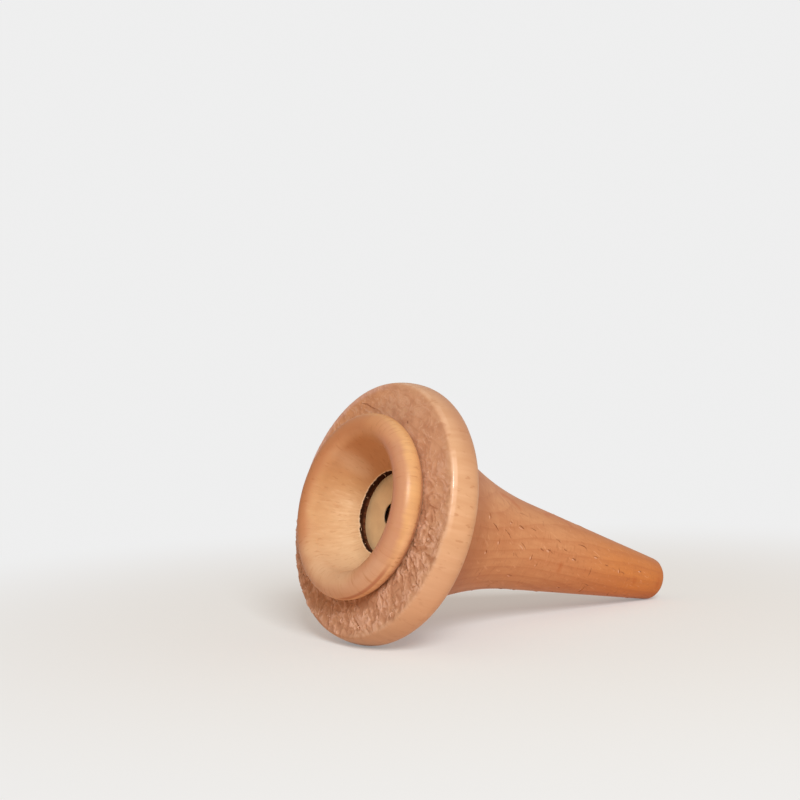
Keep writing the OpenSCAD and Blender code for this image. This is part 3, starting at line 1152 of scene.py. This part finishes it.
# Where the floor starts and ends its change into the even background, in metres from the call,
# and how much of that background already shows at the call
FLOOR_FADE = (0.035, 0.17)
FLOOR_FADED = 0.3
# The key light, seen from the call: along X, Y and Z, with its distance and width in metres
KEY_DIRECTION = Vector((-0.37, -0.75, 0.53)).normalized()
KEY_DISTANCE = 0.9
KEY_WIDTH = 0.32
CAMERA_PLACE = Vector((-0.1601, -0.1892, 0.0437))
# Degrees that the camera is turned from +Y towards +X, raised, and rolled
CAMERA_HEADING = 36.13
CAMERA_RISE = -0.95
CAMERA_ROLL = -1.52
# The camera sees nothing nearer than this, in metres
CAMERA_NEAR = 0.005


def seen_directly(bench):
    """1 for rays that should meet the plain background: from the camera, off gloss and through glass."""
    sight = bench.tree.nodes.new("ShaderNodeLightPath")
    seen = Wire(bench, sight.outputs["Is Camera Ray"])
    for name in ("Is Glossy Ray", "Is Transmission Ray"):
        seen = bench.call("MAXIMUM", seen, Wire(bench, sight.outputs[name]))
    return seen


def make_floor(sizes):
    """A wide pale floor that fades into the background round the call."""
    floor_mesh = bpy.data.meshes.new("floor")
    shell = bmesh.new()
    bmesh.ops.create_circle(shell, cap_ends=True, radius=FLOOR_RADIUS, segments=96)
    shell.to_mesh(floor_mesh)
    shell.free()
    material = bpy.data.materials.new("Pale floor")
    bench = emptied(material)
    seen = seen_directly(bench)
    away = bench.length(bench.node("ShaderNodeTexCoord", out="Object"))
    matt = bench.node("ShaderNodeBsdfDiffuse", {
        "Color": bench.mix(seen, sizes.bounce_colour, sizes.floor_colour)})
    even = bench.node("ShaderNodeEmission", {
        "Color": (*[sizes.background] * 3, 1), "Strength": 1.0})
    fade = (FLOOR_FADED + away.rise(*FLOOR_FADE) * (1 - FLOOR_FADED)) * seen
    bench.node("ShaderNodeOutputMaterial", {
        "Surface": bench.node("ShaderNodeMixShader", {0: fade, 1: matt, 2: even})})
    floor_mesh.materials.append(material)
    placed("floor", floor_mesh)


def make_sky(sizes):
    """Even light from all round, which the camera sees as the plain background."""
    world = bpy.data.worlds.new("Plain sky")
    bpy.context.scene.world = world
    bench = emptied(world)
    light = bench.node("ShaderNodeBackground", {"Color": sizes.sky_colour, "Strength": sizes.sky_level})
    even = bench.node("ShaderNodeBackground", {
        "Color": (*[sizes.background] * 3, 1), "Strength": 1.0})
    bench.node("ShaderNodeOutputWorld", {
        "Surface": bench.node("ShaderNodeMixShader", {0: seen_directly(bench), 1: light, 2: even})})


def make_key(sizes):
    """A soft square light over the camera's right shoulder."""
    lamp = bpy.data.lights.new("key", "AREA")
    lamp.shape = "SQUARE"
    lamp.size = KEY_WIDTH
    # A square lamp of power P lights a facing matt surface at distance d to P / (pi * pi * d * d)
    lamp.energy = sizes.key_level * (math.pi * KEY_DISTANCE) ** 2
    key = placed("key", lamp)
    key.location = (CAD_BOX[0] + CAD_BOX[1]) / 2 + KEY_DIRECTION * KEY_DISTANCE
    key.rotation_euler = KEY_DIRECTION.to_track_quat("Z", "Y").to_euler()


def make_camera(sizes):
    camera = placed("camera", bpy.data.cameras.new("camera"))
    camera.data.lens = sizes.lens
    camera.data.clip_start = CAMERA_NEAR
    camera.matrix_world = (
        Matrix.Translation(CAMERA_PLACE)
        @ Matrix.Rotation(math.radians(-CAMERA_HEADING), 4, "Z")
        @ Matrix.Rotation(math.radians(90 + CAMERA_RISE), 4, "X")
        @ Matrix.Rotation(math.radians(CAMERA_ROLL), 4, "Z"))
    bpy.context.scene.camera = camera


class BIRDCALL_OT_stage(bpy.types.Operator):
    """Lay the floor, hang the lights and set the camera"""

    bl_idname = "birdcall.stage"
    bl_label = "Stage"

    def execute(self, context):
        for make in (make_floor, make_sky, make_key, make_camera):
            make(context.scene.birdcall_stage)
        context.scene.view_settings.view_transform = "Standard"
        return {"FINISHED"}


OPERATORS = (BIRDCALL_OT_horn, BIRDCALL_OT_mouth_cup, BIRDCALL_OT_whistle, BIRDCALL_OT_stage)
SETTINGS = {
    "birdcall_horn": HornFinish,
    "birdcall_cup": CupFinish,
    "birdcall_whistle": WhistleFinish,
    "birdcall_stage": StageSizes,
}


class BIRDCALL_PT_panel(bpy.types.Panel):
    """Lists the steps that make the call, and what can be changed about each"""

    bl_label = "Bird Call"
    bl_idname = "BIRDCALL_PT_panel"
    bl_space_type = "VIEW_3D"
    bl_region_type = "UI"
    bl_category = "Bird Call"

    def draw(self, context):
        for operator, (name, group) in zip(OPERATORS, SETTINGS.items()):
            box = self.layout.box()
            box.operator(operator.bl_idname)
            for prop in group.__annotations__:
                box.prop(getattr(context.scene, name), prop)


def register():
    for made in (*SETTINGS.values(), *OPERATORS, BIRDCALL_PT_panel):
        bpy.utils.register_class(made)
    for name, group in SETTINGS.items():
        setattr(bpy.types.Scene, name, PointerProperty(type=group))


def unregister():
    for name in SETTINGS:
        delattr(bpy.types.Scene, name)
    for made in (BIRDCALL_PT_panel, *reversed(OPERATORS), *SETTINGS.values()):
        bpy.utils.unregister_class(made)


def main():
    register()
    bpy.ops.birdcall.horn()
    bpy.ops.birdcall.mouth_cup()
    bpy.ops.birdcall.whistle()
    bpy.ops.birdcall.stage()


if __name__ == "__main__":
    main()
